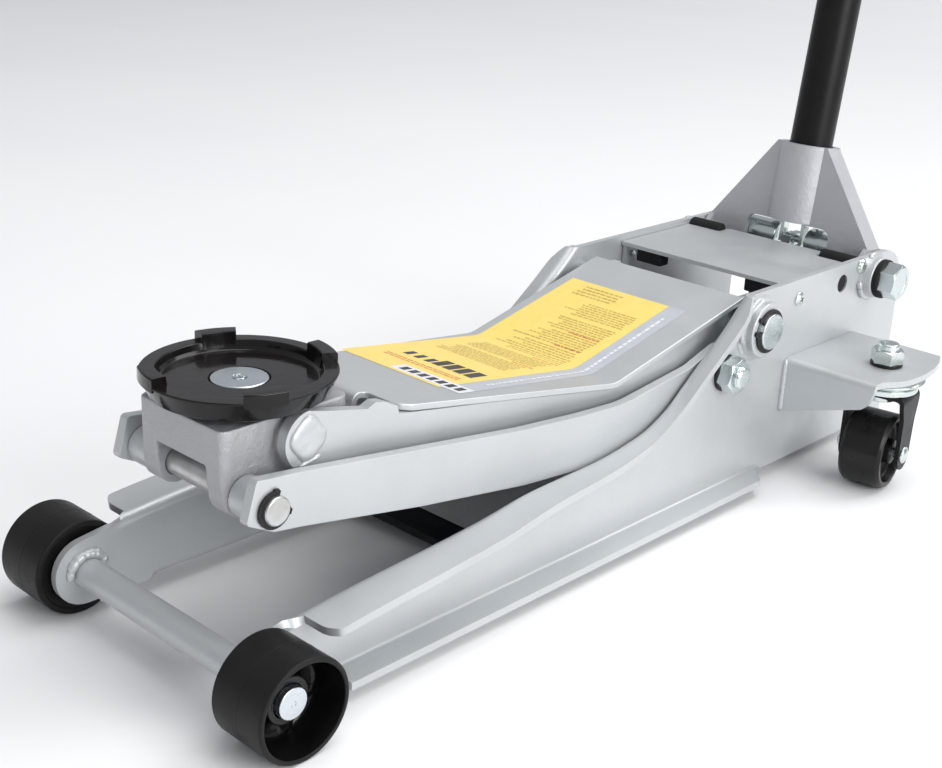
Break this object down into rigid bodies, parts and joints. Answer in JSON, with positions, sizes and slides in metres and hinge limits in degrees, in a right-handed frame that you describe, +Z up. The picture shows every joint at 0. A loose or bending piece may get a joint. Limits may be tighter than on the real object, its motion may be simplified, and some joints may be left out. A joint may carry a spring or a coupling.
{
  "type": "trolley jack",
  "caption": "Low-profile hydraulic trolley jack: bent side plates on front wheels and rear casters, a level-keeping lift arm with a round saddle, and a long turning pump handle.",
  "frame": {"origin": "middle of the bounding box's footprint, on the floor", "axes": "+Z up; the handle and casters are at +Y and the saddle at -Y; +X is the left of someone standing behind the handle"},
  "size_m": [0.34, 0.8125, 1.1362],
  "materials": {
    "silver_paint": "silver-grey enamel, slightly metallic, satin to gloss",
    "cast_paint": "rough casting under silver-grey paint",
    "zinc": "bright zinc plate",
    "steel": "machined steel with a film of oil",
    "saddle_black": "thick gloss black paint on a casting",
    "satin_black": "satin black powder coat",
    "wheel_black": "gloss black moulded wheel",
    "caster_black": "satin black moulded wheel",
    "rubber": "matt black rubber"
  },
  "bodies": {
    "chassis": {"side_plate_left": "silver_paint", "side_plate_right": "silver_paint", "front_axle": "zinc", "cross_strap": "satin_black", "plate_plug_left": "rubber", "plate_plug_right": "rubber", "caster_bracket_left": "silver_paint", "caster_bracket_right": "silver_paint", "caster_race_left": "zinc", "caster_race_right": "zinc", "caster_kingpin_left": "zinc", "caster_kingpin_right": "zinc", "rear_cover": "silver_paint", "cover_screw_left": "zinc", "cover_screw_right": "zinc", "bumper_screw_left": "zinc", "bumper_screw_right": "zinc", "bumper_left": "rubber", "bumper_right": "rubber", "rod_bolt_left": "zinc", "rod_bolt_right": "zinc", "handle_bolt_left": "zinc", "handle_bolt_right": "zinc", "main_pivot_pin": "zinc", "hydraulic_block": "cast_paint", "hydraulic_cylinder": "silver_paint"},
    "front_wheel_left": {"front_wheel_left": "wheel_black"},
    "front_wheel_right": {"front_wheel_right": "wheel_black"},
    "caster_left": {"caster_fork_left": "satin_black", "caster_rivet_left": "zinc"},
    "caster_right": {"caster_fork_right": "satin_black", "caster_rivet_right": "zinc"},
    "caster_wheel_left": {"caster_wheel_left": "caster_black"},
    "caster_wheel_right": {"caster_wheel_right": "caster_black"},
    "arm": {"arm_cheek_left": "silver_paint", "arm_cheek_right": "silver_paint", "arm_top_plate": "silver_paint", "arm_lever": "silver_paint", "arm_front_pin": "silver_paint"},
    "carrier": {"saddle_carrier": "cast_paint", "carrier_lower_pin": "steel", "pin_clip_left": "zinc", "pin_clip_right": "zinc"},
    "saddle": {"saddle": "saddle_black", "saddle_screw": "zinc"},
    "rod_left": {"radius_rod_left": "silver_paint"},
    "rod_right": {"radius_rod_right": "silver_paint"},
    "ram": {"ram": "steel"},
    "plunger_left": {"pump_plunger_left": "zinc"},
    "plunger_right": {"pump_plunger_right": "zinc"},
    "release_valve": {"release_valve": "zinc"},
    "yoke": {"handle_yoke": "silver_paint", "pump_roller_left": "zinc", "pump_roller_right": "zinc"},
    "handle": {"handle_drive": "zinc", "handle_tube_lower": "satin_black", "handle_tube_upper": "satin_black", "handle_grip": "rubber"},
    "drive_shaft": {"drive_shaft": "zinc"}
  },
  "joints": [
    {"name": "wheel_left_roll", "type": "hinge", "parent": "chassis", "child": "front_wheel_left", "pos_m": [0, -0.376, 0.03], "axis": [1, 0, 0], "continuous": true},
    {"name": "wheel_right_roll", "type": "hinge", "parent": "chassis", "child": "front_wheel_right", "pos_m": [0, -0.376, 0.03], "axis": [1, 0, 0], "continuous": true},
    {"name": "caster_left_swivel", "type": "hinge", "parent": "chassis", "child": "caster_left", "pos_m": [0.14, 0.173, 0], "axis": [0, 0, 1], "continuous": true},
    {"name": "caster_right_swivel", "type": "hinge", "parent": "chassis", "child": "caster_right", "pos_m": [-0.14, 0.173, 0], "axis": [0, 0, 1], "continuous": true},
    {"name": "caster_left_roll", "type": "hinge", "parent": "caster_left", "child": "caster_wheel_left", "pos_m": [0.14037, 0.17053, 0.0292], "axis": [0.989, 0.1478, 0], "continuous": true},
    {"name": "caster_right_roll", "type": "hinge", "parent": "caster_right", "child": "caster_wheel_right", "pos_m": [-0.13963, 0.17053, 0.0292], "axis": [0.989, 0.1478, 0], "continuous": true},
    {"name": "arm_lift", "type": "hinge", "parent": "chassis", "child": "arm", "pos_m": [0, 0.0805, 0.1284], "axis": [-1, 0, 0], "range_deg": [-12.7, 56]},
    {"name": "carrier_level", "type": "hinge", "parent": "arm", "child": "carrier", "pos_m": [0, -0.3113, 0.1385], "axis": [-1, 0, 0], "range_deg": [-56, 12.7]},
    {"name": "saddle_turn", "type": "hinge", "parent": "carrier", "child": "saddle", "pos_m": [0, -0.3204, 0.16], "axis": [0, 0, 1], "continuous": true},
    {"name": "rod_left_swing", "type": "hinge", "parent": "chassis", "child": "rod_left", "pos_m": [0, 0.0448, 0.1024], "axis": [-1, 0, 0], "range_deg": [-12.7, 56]},
    {"name": "rod_right_swing", "type": "hinge", "parent": "chassis", "child": "rod_right", "pos_m": [0, 0.0448, 0.1024], "axis": [-1, 0, 0], "range_deg": [-12.7, 56]},
    {"name": "ram_slide", "type": "slide", "parent": "chassis", "child": "ram", "axis": [0, -1, 0], "range_m": [-0.0116, 0.0507]},
    {"name": "handle_pump", "type": "hinge", "parent": "chassis", "child": "yoke", "pos_m": [0, 0.2386, 0.1385], "axis": [-1, 0, 0], "range_deg": [-6, 66]},
    {"name": "plunger_left_slide", "type": "slide", "parent": "chassis", "child": "plunger_left", "axis": [0, 0, -1], "range_m": [-0.0024, 0.0251]},
    {"name": "plunger_right_slide", "type": "slide", "parent": "chassis", "child": "plunger_right", "axis": [0, 0, -1], "range_m": [-0.0024, 0.0251]},
    {"name": "handle_twist", "type": "hinge", "parent": "yoke", "child": "handle", "pos_m": [0, 0.25486, 0.13636], "axis": [0, 0.1305, 0.9914], "range_deg": [0, 180]},
    {"name": "release_valve_turn", "type": "hinge", "parent": "chassis", "child": "release_valve", "pos_m": [0, 0.256, 0.1], "axis": [0, 0, 1], "range_deg": [0, 180]},
    {"name": "drive_slide", "type": "slide", "parent": "release_valve", "child": "drive_shaft", "axis": [0, 0, -1], "range_m": [-0.0022, 0.0226]}
  ],
  "couplings": [
    {"joint": "carrier_level", "follows": "arm_lift", "ratio": -1},
    {"joint": "rod_left_swing", "follows": "arm_lift", "ratio": 1},
    {"joint": "rod_right_swing", "follows": "arm_lift", "ratio": 1},
    {"joint": "ram_slide", "follows": "arm_lift", "m_per_rad": 0.0518},
    {"joint": "plunger_left_slide", "follows": "handle_pump", "m_per_rad": 0.0216},
    {"joint": "plunger_right_slide", "follows": "handle_pump", "m_per_rad": 0.0216},
    {"joint": "drive_slide", "follows": "handle_pump", "m_per_rad": 0.0195},
    {"joint": "release_valve_turn", "follows": "handle_twist", "ratio": 1}
  ]
}
